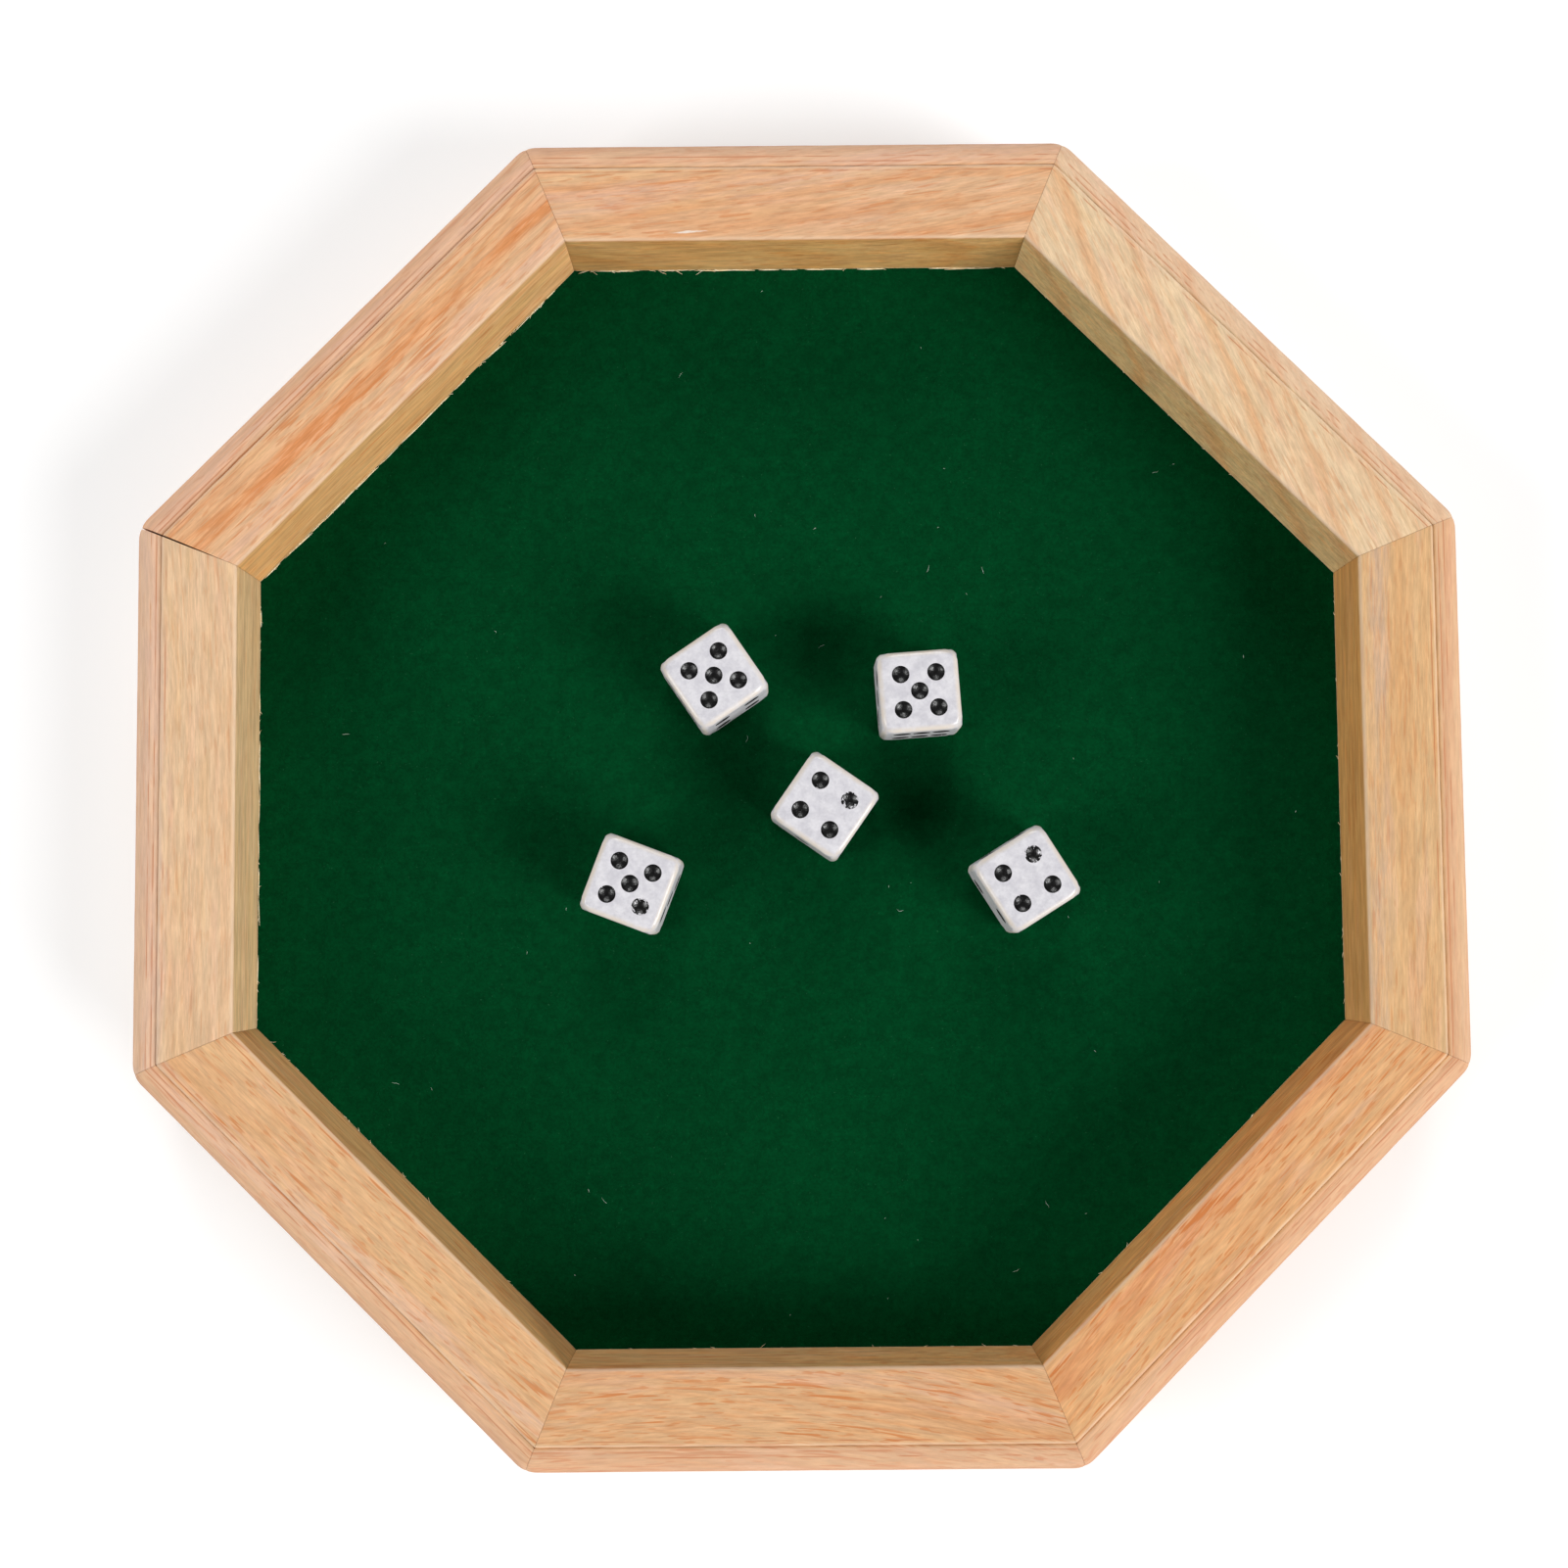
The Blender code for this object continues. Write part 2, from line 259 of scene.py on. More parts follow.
# How each rail was cut from its board. Colours are display values, lengths are millimetres.
# pith: where the middle of the tree lay, across and up from the middle of the rail's top;
# lean: how fast the pith leaves that place along the rail, across and up;
# spacing, wobble: width of a ring, and how much the rings wander;
# narrow: where in a ring its dark late wood starts, as a share of the ring;
# rings, flecks: how strongly each shows;
# slope, bow: direction of the fibres on the flat top, and how it changes along the rail;
# wall: tint of the unsanded inner wall, which also paints in the shade and the felt's bounce light
# that this wall gets;
# bands: middle and half width of a tinted stripe, measured across, with its colour and strength.
PINE = {
    "right": dict(
        base=(221, 180, 132), late=(212, 152, 96), pith=(-50, -6), lean=(0.02, 0.03),
        spacing=2.3, rings=0.22, narrow=0.2, wobble=0.5, flecks=0.38,
        slope=0.02, bow=0.0, wall=(0.95, 0.80, 0.52, 1),
        bands=[(112.8, 2.0, (208, 174, 144), 0.9), (126.8, 1.2, (226, 160, 112), 0.6)],
    ),
    "back_right": dict(
        base=(229, 200, 162), late=(220, 166, 120), pith=(-75, -30), lean=(0.43, 0.12),
        spacing=9.5, rings=0.55, narrow=0.66, wobble=0.30, flecks=0.35,
        slope=0.36, bow=0.0, wall=(0.97, 0.93, 0.70, 1),
        bands=[],
    ),
    "back": dict(
        base=(224, 180, 140), late=(216, 148, 96), pith=(60, -24), lean=(-0.15, -0.05),
        spacing=4.6, rings=0.40, narrow=0.35, wobble=0.75, flecks=0.55,
        slope=-0.13, bow=0.6, wall=(0.97, 0.95, 0.62, 1),
        bands=[(122.8, 3.0, (226, 184, 160), 0.65)],
    ),
    "back_left": dict(
        base=(226, 180, 138), late=(218, 150, 96), pith=(55, 2), lean=(0.015, 0.01),
        spacing=3.8, rings=0.22, narrow=0.3, wobble=0.6, flecks=0.65,
        slope=0.015, bow=0.0, wall=(0.97, 0.95, 0.70, 1),
        bands=[(118.0, 1.7, (220, 138, 78), 0.85), (122.6, 0.4, (214, 138, 84), 0.6),
               (126.6, 1.8, (226, 180, 156), 0.7), (112.4, 2.0, (228, 186, 158), 0.65)],
    ),
    "left": dict(
        base=(225, 190, 152), late=(220, 172, 130), pith=(-70, 4), lean=(0.01, 0.0),
        spacing=2.8, rings=0.25, narrow=0.3, wobble=0.5, flecks=0.32,
        slope=-0.02, bow=0.4, wall=(0.98, 1.0, 0.86, 1),
        bands=[(126.4, 3.4, (222, 186, 164), 0.7)],
    ),
    "front_left": dict(
        base=(222, 178, 133), late=(216, 154, 102), pith=(-40, -20), lean=(0.03, 0.03),
        spacing=3.4, rings=0.20, narrow=0.3, wobble=0.8, flecks=0.80,
        slope=-0.04, bow=-0.4, wall=(0.97, 0.95, 0.76, 1),
        # its stripe at 124.2 mm is a painted highlight along the arris of the step
        bands=[(124.2, 2.4, (230, 192, 166), 0.7)],
    ),
    "front": dict(
        base=(219, 174, 130), late=(212, 142, 86), pith=(-60, -20), lean=(0.13, 0.05),
        spacing=2.4, rings=0.30, narrow=0.4, wobble=0.5, flecks=0.85,
        slope=0.08, bow=1.9, wall=(0.97, 0.95, 0.76, 1),
        bands=[(111.6, 1.6, (224, 178, 148), 0.5)],
    ),
    "front_right": dict(
        base=(224, 174, 124), late=(216, 142, 84), pith=(-40, -14), lean=(0.04, 0.05),
        spacing=2.8, rings=0.28, narrow=0.3, wobble=1.0, flecks=1.0,
        slope=-0.05, bow=0.3, wall=(0.96, 0.88, 0.64, 1),
        bands=[(112.0, 2.2, (218, 144, 100), 0.65)],
    ),
}
# Tints that the rails share
FLECK = (204, 118, 56)
WARM = (226, 184, 134)
ROSY = (228, 182, 152)
TORN = (236, 214, 172)
MOULDED = (228, 186, 160)
# painted shade for the outer edge of the quarter round, where it turns away from the light
PAINTED_OUTER_CURVE_SHADE = (190, 124, 84)
STEP_LINE_TINT = (196, 120, 76)
# paler tint of the arrises: sanded wear and a painted highlight
PALE_WEAR_AND_HIGHLIGHT = (242, 216, 186)
# painted shade for the crease at the foot of the step
PAINTED_CREASE_SHADE = (184, 108, 60)
SCUFF = (246, 238, 226)
MOULDED_HEIGHTS = (RIM - 7 * MM, RIM - 3 * MM)  # below the first, the outer wall is plain
STEP_LINE_PLACES = (-1.1, 1.0, 2.1)  # millimetres outward from the step
SCUFF_PLACE = (21.0, 111.6)  # on the back rail, along and across, in millimetres
SCUFF_SIZE = (4.2, 0.42)
SCUFF_SLOPE = 0.05
WOOD_SHARE = 0.9


def fibre_place(graph, place, look):
    """Coordinates that follow the fibres, which cross the rail at a slope and bow along it."""
    along = graph.dot(place, (1, 0, 0))
    bow = graph.times(graph.times(along, along), -look["bow"])
    sheared = graph.node("CombineXYZ", {
        0: along,
        1: graph.dot(place, (-look["slope"], 1, 0)),
        2: graph.dot(place, (-0.3 * look["slope"], 0, 1)),
    }).outputs[0]
    return graph.shift(sheared, graph.node("CombineXYZ", {1: bow}).outputs[0])


def ring_tone(graph, place, own, look):
    """Dark late wood of the rings round the pith, from 0 to 1."""
    across, up = look["pith"]
    lean_across, lean_up = look["lean"]
    drift = graph.minus(graph.noise(own, (13, 60, 60), 1.5), 0.5)
    ripple = graph.minus(graph.noise(own, (70, 500, 500), 1.0), 0.5)
    middle = (INNER + QUIRK) / 2
    first = graph.minus(graph.dot(place, (-lean_across, 1, 0)), middle + across * MM)
    second = graph.minus(graph.dot(place, (-lean_up, 0, 1)), RIM + up * MM)
    squares = graph.plus(graph.times(first, first), graph.times(second, second))
    count = graph.math("DIVIDE", graph.math("SQRT", squares), look["spacing"] * MM)
    count = graph.times_plus(drift, 2.6 * look["wobble"], count)
    count = graph.times_plus(ripple, 0.25, count)
    ring = graph.math("FRACT", count)
    late = graph.times(graph.ease(ring, look["narrow"], 0.84), graph.ease(ring, 0.87, 0.99, 1, 0))
    year = graph.node("TexWhiteNoise", {"W": graph.math("FLOOR", count)}, noise_dimensions="1D")
    return graph.times(late, graph.times_plus(year.outputs["Value"], 0.7, 0.45))


def pine(index, side):
    """Softwood with curved rings, fine fibres, short resin flecks and a torn inner foot."""
    look = PINE[side]
    graph = Graph(f"pine_{side}")
    place = graph.attribute("grain", "Vector")
    across = graph.dot(place, (0, 1, 0))
    up = graph.dot(place, (0, 0, 1))
    shift = (3.7 * index + 1, 0.9 * index, 1.3 * index)
    own = graph.shift(fibre_place(graph, place, look), shift)
    late = ring_tone(graph, place, own, look)

    # Patches, streaks, fibres and lens-shaped flecks
    broad = graph.noise(own, (16, 190, 190), 2.0)
    patches = graph.noise(graph.shift(own, (0.3, 0.3, 0.3)), (40, 260, 260), 2.0, 0.6)
    streaks = graph.noise(own, (130, 1150, 1150), 3.0, 0.65)
    hues = graph.noise(graph.shift(own, (0.5, 0.5, 0.5)), (55, 620, 620), 3.0, 0.6)
    fibres = graph.noise(own, (260, 3200, 3200), 3.0, 0.7)
    crowd = graph.noise(own, (30, 240, 240), 1.0)
    long_dashes = graph.ease(graph.noise(own, (95, 1450, 1450), 1.0), 0.60, 0.67)
    short_dashes = graph.ease(graph.noise(own, (240, 1700, 1700), 1.0), 0.61, 0.68)
    flecks = graph.times(long_dashes, graph.ease(crowd, 0.40, 0.60))
    flecks = graph.math("MAXIMUM", flecks, graph.times(short_dashes, 0.6))
    flecks = graph.times(flecks, look["flecks"])

    # Tints of the board, its rings and its stripes; one stripe is a painted highlight
    colour = linear(*look["base"])
    colour = graph.tint(colour, graph.ease(patches, 0.54, 0.66, 0.0, 0.35), ROSY)
    colour = graph.tint(colour, graph.ease(patches, 0.34, 0.46, 0.35, 0.0), WARM)
    colour = graph.tint(colour, graph.times(late, look["rings"]), look["late"])
    for centre, width, shade, strength in look["bands"]:
        away = graph.minus(graph.dot(own, (0, 1, 0)), centre * MM + shift[1])
        away = graph.times_plus(graph.minus(hues, 0.5), 3.0 * width * MM, away)
        away = graph.math("ABSOLUTE", away)
        band = graph.ease(away, 0.3 * width * MM, 1.4 * width * MM, strength, 0.0)
        band = graph.times(band, graph.ease(patches, 0.35, 0.60, 0.45, 1.0))
        band = graph.times(band, graph.ease(streaks, 0.35, 0.55, 0.50, 1.0))
        colour = graph.tint(colour, band, shade)
    colour = graph.tint(colour, graph.ease(broad, 0.42, 0.70, 0.0, 0.30), look["late"])
    colour = graph.tint(colour, graph.ease(hues, 0.52, 0.72, 0.0, 0.45), look["late"])
    colour = graph.tone(colour, graph.ease(streaks, 0.28, 0.72, 1.11, 0.89))
    colour = graph.tone(colour, graph.ease(fibres, 0.28, 0.72, 1.10, 0.90))
    colour = graph.tint(colour, graph.times(flecks, 0.85), FLECK)

    # The cutter left the quarter round rosy, and fine broken darker lines run beside the step;
    # painted shade darkens its outer edge, where the curve turns away from the light
    moulded = graph.ease(up, *MOULDED_HEIGHTS)
    beyond = graph.ease(across, QUIRK, QUIRK + 0.8 * MM, 0.0, 0.35)
    colour = graph.tint(colour, graph.times(moulded, beyond), MOULDED)
    outer_curve_shade_mask = graph.ease(across, OUTER - 1.3 * MM, OUTER - 0.2 * MM, 0.0, 0.45)
    colour = graph.tint(colour, graph.times(moulded, outer_curve_shade_mask), PAINTED_OUTER_CURVE_SHADE)
    for line in STEP_LINE_PLACES:
        away = graph.math("ABSOLUTE", graph.minus(across, QUIRK + line * MM))
        mark = graph.ease(away, 0.05 * MM, 0.16 * MM, 0.75, 0.0)
        colour = graph.tint(colour, graph.times(mark, graph.ease(hues, 0.42, 0.56)), STEP_LINE_TINT)

    # The inner wall was never sanded and its tone is less even; its tint, set rail by rail, makes
    # it yellower and paints in the shade and the felt's bounce light that each wall gets
    wall = graph.ease(across, INNER + 0.2 * MM, INNER + 0.6 * MM, 1.0, 0.0)
    unsanded = graph.times(wall, graph.ease(up, RIM - 1.2 * MM, RIM - 0.4 * MM, 1.0, 0.0))
    shaded_sawn_wall = graph.mix(1.0, colour, look["wall"], "MULTIPLY")
    shaded_sawn_wall = graph.tone(shaded_sawn_wall, graph.ease(hues, 0.35, 0.65, 0.88, 1.12))
    colour = graph.mix(unsanded, colour, shaded_sawn_wall)

    # The saw tore pale fibres from the foot of the wall
    ragged = graph.noise(own, (700, 300, 2500), 2.0)
    height = graph.times_plus(ragged, -1.1 * MM, up)
    torn = graph.times(wall, graph.ease(height, LIP - 0.35 * MM, LIP + 0.15 * MM, 1.0, 0.0))
    colour = graph.tint(colour, graph.times(torn, 0.8), TORN)

    # Sanded edges are paler, partly from wear and partly as a painted highlight on the arrises, and
    # painted shade darkens the crease at the foot of the step
    colour = graph.tint(colour, graph.times(graph.attribute("worn"), 0.5), PALE_WEAR_AND_HIGHLIGHT)
    dirt = graph.times(graph.attribute("dirt"), graph.ease(hues, 0.40, 0.60, 0.1, 1.0))
    colour = graph.tint(colour, graph.times(dirt, 0.40), PAINTED_CREASE_SHADE)
    if side == "back":
        colour = scuffed(graph, place, colour)
    colour = graph.mix(1.0, colour, (WOOD_SHARE, WOOD_SHARE, WOOD_SHARE, 1), "MULTIPLY")

    roughness = graph.ease(streaks, 0.2, 0.8, 0.52, 0.66)
    roughness = graph.times_plus(torn, 0.3, roughness)
    relief = graph.times_plus(fibres, 0.5, streaks)
    relief = graph.times_plus(flecks, -0.8, relief)
    normal = graph.bump(relief, 0.035 * MM, 0.7)
    normal = graph.bump(graph.times(torn, ragged), 0.4 * MM, 0.8, normal)
    return graph.finish(
        base_color=colour, roughness=roughness, normal=normal, specular_ior_level=0.18
    )


def scuffed(graph, place, colour):
    """A short white scuff on the flat top."""
    along, across = SCUFF_PLACE
    directions = ((1, 0, 0), (SCUFF_SLOPE, 1, 0))
    middles = (along * MM, (across + SCUFF_SLOPE * along) * MM)
    parts = []
    for direction, middle, size in zip(directions, middles, SCUFF_SIZE):
        away = graph.minus(graph.dot(place, direction), middle)
        parts.append(graph.math("POWER", graph.math("DIVIDE", away, size * MM), 2))
    reach = graph.times_plus(graph.noise(place, (500, 2600, 2600)), 1.4, graph.plus(*parts))
    return graph.tint(colour, graph.ease(reach, 0.7, 1.4, 0.8, 0.0), SCUFF)


def felt_material():
    """Pressed green wool: matted fibres, soft clouds and a faint sheen."""
    graph = Graph("green_felt")
    place = graph.position()
    clouds = graph.noise(place, 26, 3.0, 0.55)
    mottle = graph.noise(place, 420, 4.0, 0.65)
    matted = graph.noise(place, 1500, 3.0, 0.7, 0.8)
    brushed = graph.noise(place, (160, 1100, 300), 2.0, 0.6, 0.4)
    amount = graph.ease(clouds, 0.3, 0.7, 0.95, 1.05)
    for pattern, low, high in ((mottle, 0.84, 1.16), (matted, 0.80, 1.20), (brushed, 0.97, 1.03)):
        amount = graph.times(amount, graph.ease(pattern, 0.3, 0.7, low, high))
    colour = graph.tone(linear(0, 54, 25), amount)
    pale = graph.ease(graph.noise(place, 2600, 1.0), 0.72, 0.80)
    colour = graph.tint(colour, graph.times(pale, 0.25), (70, 130, 92))
    normal = graph.bump(graph.plus(matted, graph.times(mottle, 0.8)), 0.25 * MM, 0.7)
    return graph.finish(
        base_color=colour, roughness=0.95, normal=normal, specular_ior_level=0.03,
        sheen_weight=0.12, sheen_roughness=0.6, sheen_tint=linear(0, 190, 96),
    )


def plywood_material():
    """Thin plywood: rotary-cut face veneer, with darker plies along its edge."""
    graph = Graph("plywood_panel")
    place = graph.position()
    sweep = graph.noise(place, (4, 11, 2), 2.0, 0.5, 0.8)
    lines = graph.math("FRACT", graph.times(sweep, 17))
    lines = graph.times(graph.ease(lines, 0.1, 0.8), graph.ease(lines, 0.84, 0.98, 1.0, 0.0))
    fibres = graph.noise(place, (60, 2200, 2200), 3.0, 0.6)
    pores = graph.ease(graph.noise(place, (300, 2600, 2600), 1.0), 0.66, 0.76)
    colour = graph.tint(linear(216, 178, 132), graph.times(lines, 0.45), (182, 134, 86))
    colour = graph.tone(colour, graph.ease(fibres, 0.25, 0.75, 1.06, 0.92))
    colour = graph.tint(colour, graph.times(pores, 0.5), (140, 94, 58))
    layer = graph.math("FRACT", graph.math("DIVIDE", graph.dot(place, (0, 0, 1)), 2.0 * MM))
    side = graph.node("NewGeometry", {}).outputs["True Normal"]
    side = graph.ease(graph.math("ABSOLUTE", graph.dot(side, (0, 0, 1))), 0.3, 0.7, 1.0, 0.0)
    ply = graph.times(graph.ease(layer, 0.45, 0.55), side)
    colour = graph.tint(colour, graph.times(ply, 0.6), (128, 86, 52))
    normal = graph.bump(graph.minus(fibres, pores), 0.05 * MM, 0.6)
    roughness = graph.ease(fibres, 0.2, 0.8, 0.55, 0.7)
    return graph.finish(
        base_color=colour, roughness=roughness, normal=normal, specular_ior_level=0.3
    )


def steel_material():
    """Bright drawn steel with fine scratches and a little tarnish."""
    graph = Graph("bright_steel")
    place = graph.position()
    drawn = graph.noise(place, (2500, 2500, 260), 2.0, 0.6)
    tarnish = graph.noise(place, 700, 3.0, 0.6)
    colour = graph.tint(linear(196, 197, 200), graph.ease(tarnish, 0.5, 0.75), (150, 140, 130))
    roughness = graph.ease(drawn, 0.2, 0.8, 0.22, 0.42)
    roughness = graph.plus(roughness, graph.ease(tarnish, 0.5, 0.8, 0.0, 0.2))
    normal = graph.bump(drawn, 0.02 * MM, 0.5)
    return graph.finish(base_color=colour, metallic=1.0, roughness=roughness, normal=normal)


def dice_material():
    """White moulded plastic with glossy black paint in the pips."""
    graph = Graph("white_dice")
    place = graph.position()
    haze = graph.noise(place, 420, 3.0, 0.65)
    grain = graph.noise(place, 1800, 2.0, 0.6)
    scratch = graph.ease(graph.noise(place, (90, 2400, 700), 1.0, 0.5, 1.5), 0.66, 0.72)
    body = graph.tint(linear(219, 217, 221), graph.ease(haze, 0.3, 0.7), (200, 198, 204))
    body = graph.tone(body, graph.ease(grain, 0.25, 0.75, 1.05, 0.95))
    body = graph.tint(body, graph.times(scratch, 0.25), (186, 184, 192))
    # a warm tint round the rounded edges, partly a painted highlight along them
    edges = graph.times(graph.attribute("edge"), graph.ease(haze, 0.3, 0.6, 0.35, 0.8))
    body = graph.tint(body, edges, (226, 214, 198))

    # Paint has chipped from some rims, most on the most worn pips
    flaw = graph.noise(place, 1300, 2.0, 0.6)
    wear = graph.times_plus(graph.attribute("rim"), 0.35, flaw)
    wear = graph.times_plus(graph.attribute("chipped"), 0.20, wear)
    kept = graph.minus(1.0, graph.ease(wear, 1.02, 1.06))
    cover = graph.times(graph.attribute("paint"), kept)
    colour = graph.tint(body, cover, (9, 8, 9))

    roughness = graph.ease(grain, 0.2, 0.8, 0.26, 0.36)
    roughness = graph.times_plus(cover, 0.03, roughness)
    normal = graph.bump(grain, 0.012 * MM, 0.5)
    normal = graph.bump(graph.times(cover, flaw), 0.20 * MM, 0.7, normal)
    return graph.finish(
        base_color=colour, roughness=roughness, normal=normal, specular_ior_level=0.5
    )


def fibre_material(name, pale, dark):
    """Loose fibres, with a slow change of tone from one to the next."""
    graph = Graph(name)
    place = graph.position()
    tone = graph.ease(graph.noise(place, 700, 2.0), 0.35, 0.65)
    colour = graph.tint(linear(*pale), tone, dark)
    normal = graph.bump(graph.noise(place, 6000), 0.02 * MM, 0.5)
    return graph.finish(base_color=colour, roughness=0.85, normal=normal, specular_ior_level=0.2)


# ---------------- mesh helpers

def placed(name, data):
    made = bpy.data.objects.new(name, data)
    bpy.context.scene.collection.objects.link(made)
    return made


def add_piece(name, mesh, material, body, slot, *nodes):
    """An object of this mesh that rides on a body and stands for CAD nodes."""
    piece = placed(name, mesh)
    mesh.materials.clear()
    mesh.materials.append(material)
    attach(piece, body)
    if nodes:
        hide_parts(*nodes)
    return piece


def mesh_from(name, points, faces):
    mesh = bpy.data.meshes.new(name)
    mesh.from_pydata([tuple(point) for point in points], [], faces)
    mesh.update()
    return mesh


def mesh_of(name, shape):
    """The mesh of a bmesh, which is freed."""
    mesh = bpy.data.meshes.new(name)
    shape.to_mesh(mesh)
    shape.free()
    return mesh


def store(mesh, domain, **layers):
    """Store one number under each name for every point or face corner."""
    for name, values in layers.items():
        layer = mesh.attributes.new(name, "FLOAT", domain)
        layer.data.foreach_set("value", np.asarray(values, np.float32))


def smooth(mesh, angle):
    mesh.shade_smooth()
    mesh.set_sharp_from_angle(angle=radians(angle))


def bevel(piece, width, angle):
    """Ease the edges that are sharper than this angle in degrees."""
    eased = piece.modifiers.new("eased", "BEVEL")
    eased.width = width
    eased.segments = 2
    eased.limit_method = "ANGLE"
    eased.angle_limit = radians(angle)


def turned(mesh, angle, place=(0, 0, 0)):
    mesh.transform(Matrix.Translation(place) @ Matrix.Rotation(angle, 4, "Z"))
    return mesh


def cut(mesh, tool):
    """The mesh with the tool's mesh subtracted."""
    target, cutter = placed("target", mesh), placed("cutter", tool)
    boolean = target.modifiers.new("cut", "BOOLEAN")
    boolean.operation = "DIFFERENCE"
    boolean.solver = "EXACT"
    boolean.object = cutter
    graph = bpy.context.evaluated_depsgraph_get()
    made = bpy.data.meshes.new_from_object(target.evaluated_get(graph))
    for obj in (target, cutter):
        bpy.data.objects.remove(obj, do_unlink=True)
    return made


def joined(meshes):
    """Several meshes as one."""
    shape = bmesh.new()
    for mesh in meshes:
        shape.from_mesh(mesh)
    return mesh_of("joined", shape)


def shell(rings, sides):
    """Faces of a closed solid whose points lie in rings, one after the other."""
    last = (rings - 1) * sides
    faces = [tuple(reversed(range(sides))), tuple(range(last, last + sides))]
    for row in range(0, last, sides):
        for k in range(sides):
            a, b = row + k, row + (k + 1) % sides
            faces.append((a, b, b + sides, a + sides))
    return faces


def prism(outline, low, high):
    """An upright solid on a flat outline."""
    points = [(x, y, z) for z in (low, high) for x, y in outline]
    return mesh_from("prism", points, shell(2, len(outline)))


def arc(centre, radius, start, end, steps):
    """Points along an arc, both ends included; angles in degrees."""
    angles = [radians(start + (end - start) * step / steps) for step in range(steps + 1)]
    return [(centre[0] + radius * cos(a), centre[1] + radius * sin(a)) for a in angles]


def run(start, end, step):
    """Points from start to end about a step apart, without either end."""
    count = max(1, round(dist(start, end) / step))
    shares = [i / count for i in range(1, count)]
    return [tuple(a + (b - a) * share for a, b in zip(start, end)) for share in shares]


def tube(route, radius, sides):
    """Points of a thin tapering tube along a route."""
    points = []
    for i, place in enumerate(route):
        ahead = (route[min(i + 1, len(route) - 1)] - route[max(i - 1, 0)]).normalized()
        across = ahead.orthogonal().normalized()
        other = ahead.cross(across)
        share = i / (len(route) - 1)
        thick = radius * (1 - 0.7 * abs(2 * share - 1) ** 2)
        for k in range(sides):
            first, second = polar(thick, 2 * pi * k / sides)
            points.append(place + across * first + other * second)
    return points


def tubes(name, routes, sides=3):
    """One mesh of many thin tubes: (route, radius) each."""
    points, faces = [], []
    for route, radius in routes:
        faces += [tuple(len(points) + i for i in face) for face in shell(len(route), sides)]
        points += tube(route, radius, sides)
    mesh = mesh_from(name, points, faces)
    mesh.shade_smooth()
    return mesh


# ---------------- rails

def moulding():
    """Section of a rail, counter-clockwise: across, up."""
    foot = RIM - QUIRK_DEPTH
    ovolo = OUTER - OVOLO_RADIUS
    corners = [
        arc((REBATE + EASE_RADIUS, EASE_RADIUS), EASE_RADIUS, 180, 270, 3),
        arc((OUTER - FOOT_RADIUS, FOOT_RADIUS), FOOT_RADIUS, -90, 0, 4),
        arc((ovolo, foot - OVOLO_RADIUS), OVOLO_RADIUS, 0, 86, 18),
        [
            (ovolo + 0.12 * MM, foot - NOTCH_DEPTH),
            (ovolo - 0.06 * MM, foot - 0.3 * NOTCH_DEPTH),
            (ovolo - 0.25 * MM, foot + 0.02 * MM),
            (ovolo - 0.6 * MM, foot + 0.03 * MM),
            (QUIRK + 0.18 * MM, foot),
            (QUIRK + 0.05 * MM, foot - 0.06 * MM),
            (QUIRK - 0.02 * MM, foot + 0.02 * MM),
        ],
        arc((QUIRK - ARRIS_RADIUS, RIM - ARRIS_RADIUS), ARRIS_RADIUS, 0, 90, 7),
        arc((INNER + ARRIS_RADIUS, RIM - ARRIS_RADIUS), ARRIS_RADIUS, 90, 180, 7),
        [(INNER, LIP + 0.25 * MM), (INNER + 0.12 * MM, LIP), (REBATE, LIP)],
    ]
    section = []
    for group in corners:
        if section:
            section += run(section[-1], group[0], SECTION_STEP)
        section += group
    return section + run(section[-1], section[0], SECTION_STEP)


def outward_normals(section):
    """A unit normal for each point of a counter-clockwise section."""
    normals = []
    for i in range(len(section)):
        before, after = section[i - 1], section[(i + 1) % len(section)]
        tangent = Vector((after[0] - before[0], after[1] - before[1])).normalized()
        normals.append((tangent.y, -tangent.x))
    return normals


def plan_radius(across, angle):
    """Distance from the tray's centre at a polar angle, with the outer corners rounded."""
    roundness = CORNER_RADIUS * max(0.0, (across - QUIRK) / (OUTER - QUIRK))
    angle = abs(angle)
    if roundness > 0 and angle > atan((across - roundness) * tan(CORNER_ANGLE) / across):
        reach = (across - roundness) / cos(CORNER_ANGLE)
        off = CORNER_ANGLE - angle
        inside = max(0.0, roundness**2 - (reach * sin(off)) ** 2)
        return reach * cos(off) + sqrt(inside)
    return across / cos(angle)


def mitre_gap(index, end, radius):
    """Half the width of the joint line at one end of a rail."""
    if (index if end > 0 else index - 1) % len(SIDES) != OPEN_MITRE:
        return MITRE_GAP
    first, last = OPEN_MITRE_REACH
    share = (radius - first) / (last - first)
    return MITRE_GAP + OPEN_MITRE_GAP * min(1.0, max(0.0, share))


def station_shares():
    """Places along a rail from -1 to 1, closer together near the mitres."""
    even = [2 * i / STATIONS - 1 for i in range(STATIONS + 1)]
    return [0.45 * share + 0.55 * sin(share * pi / 2) for share in even]


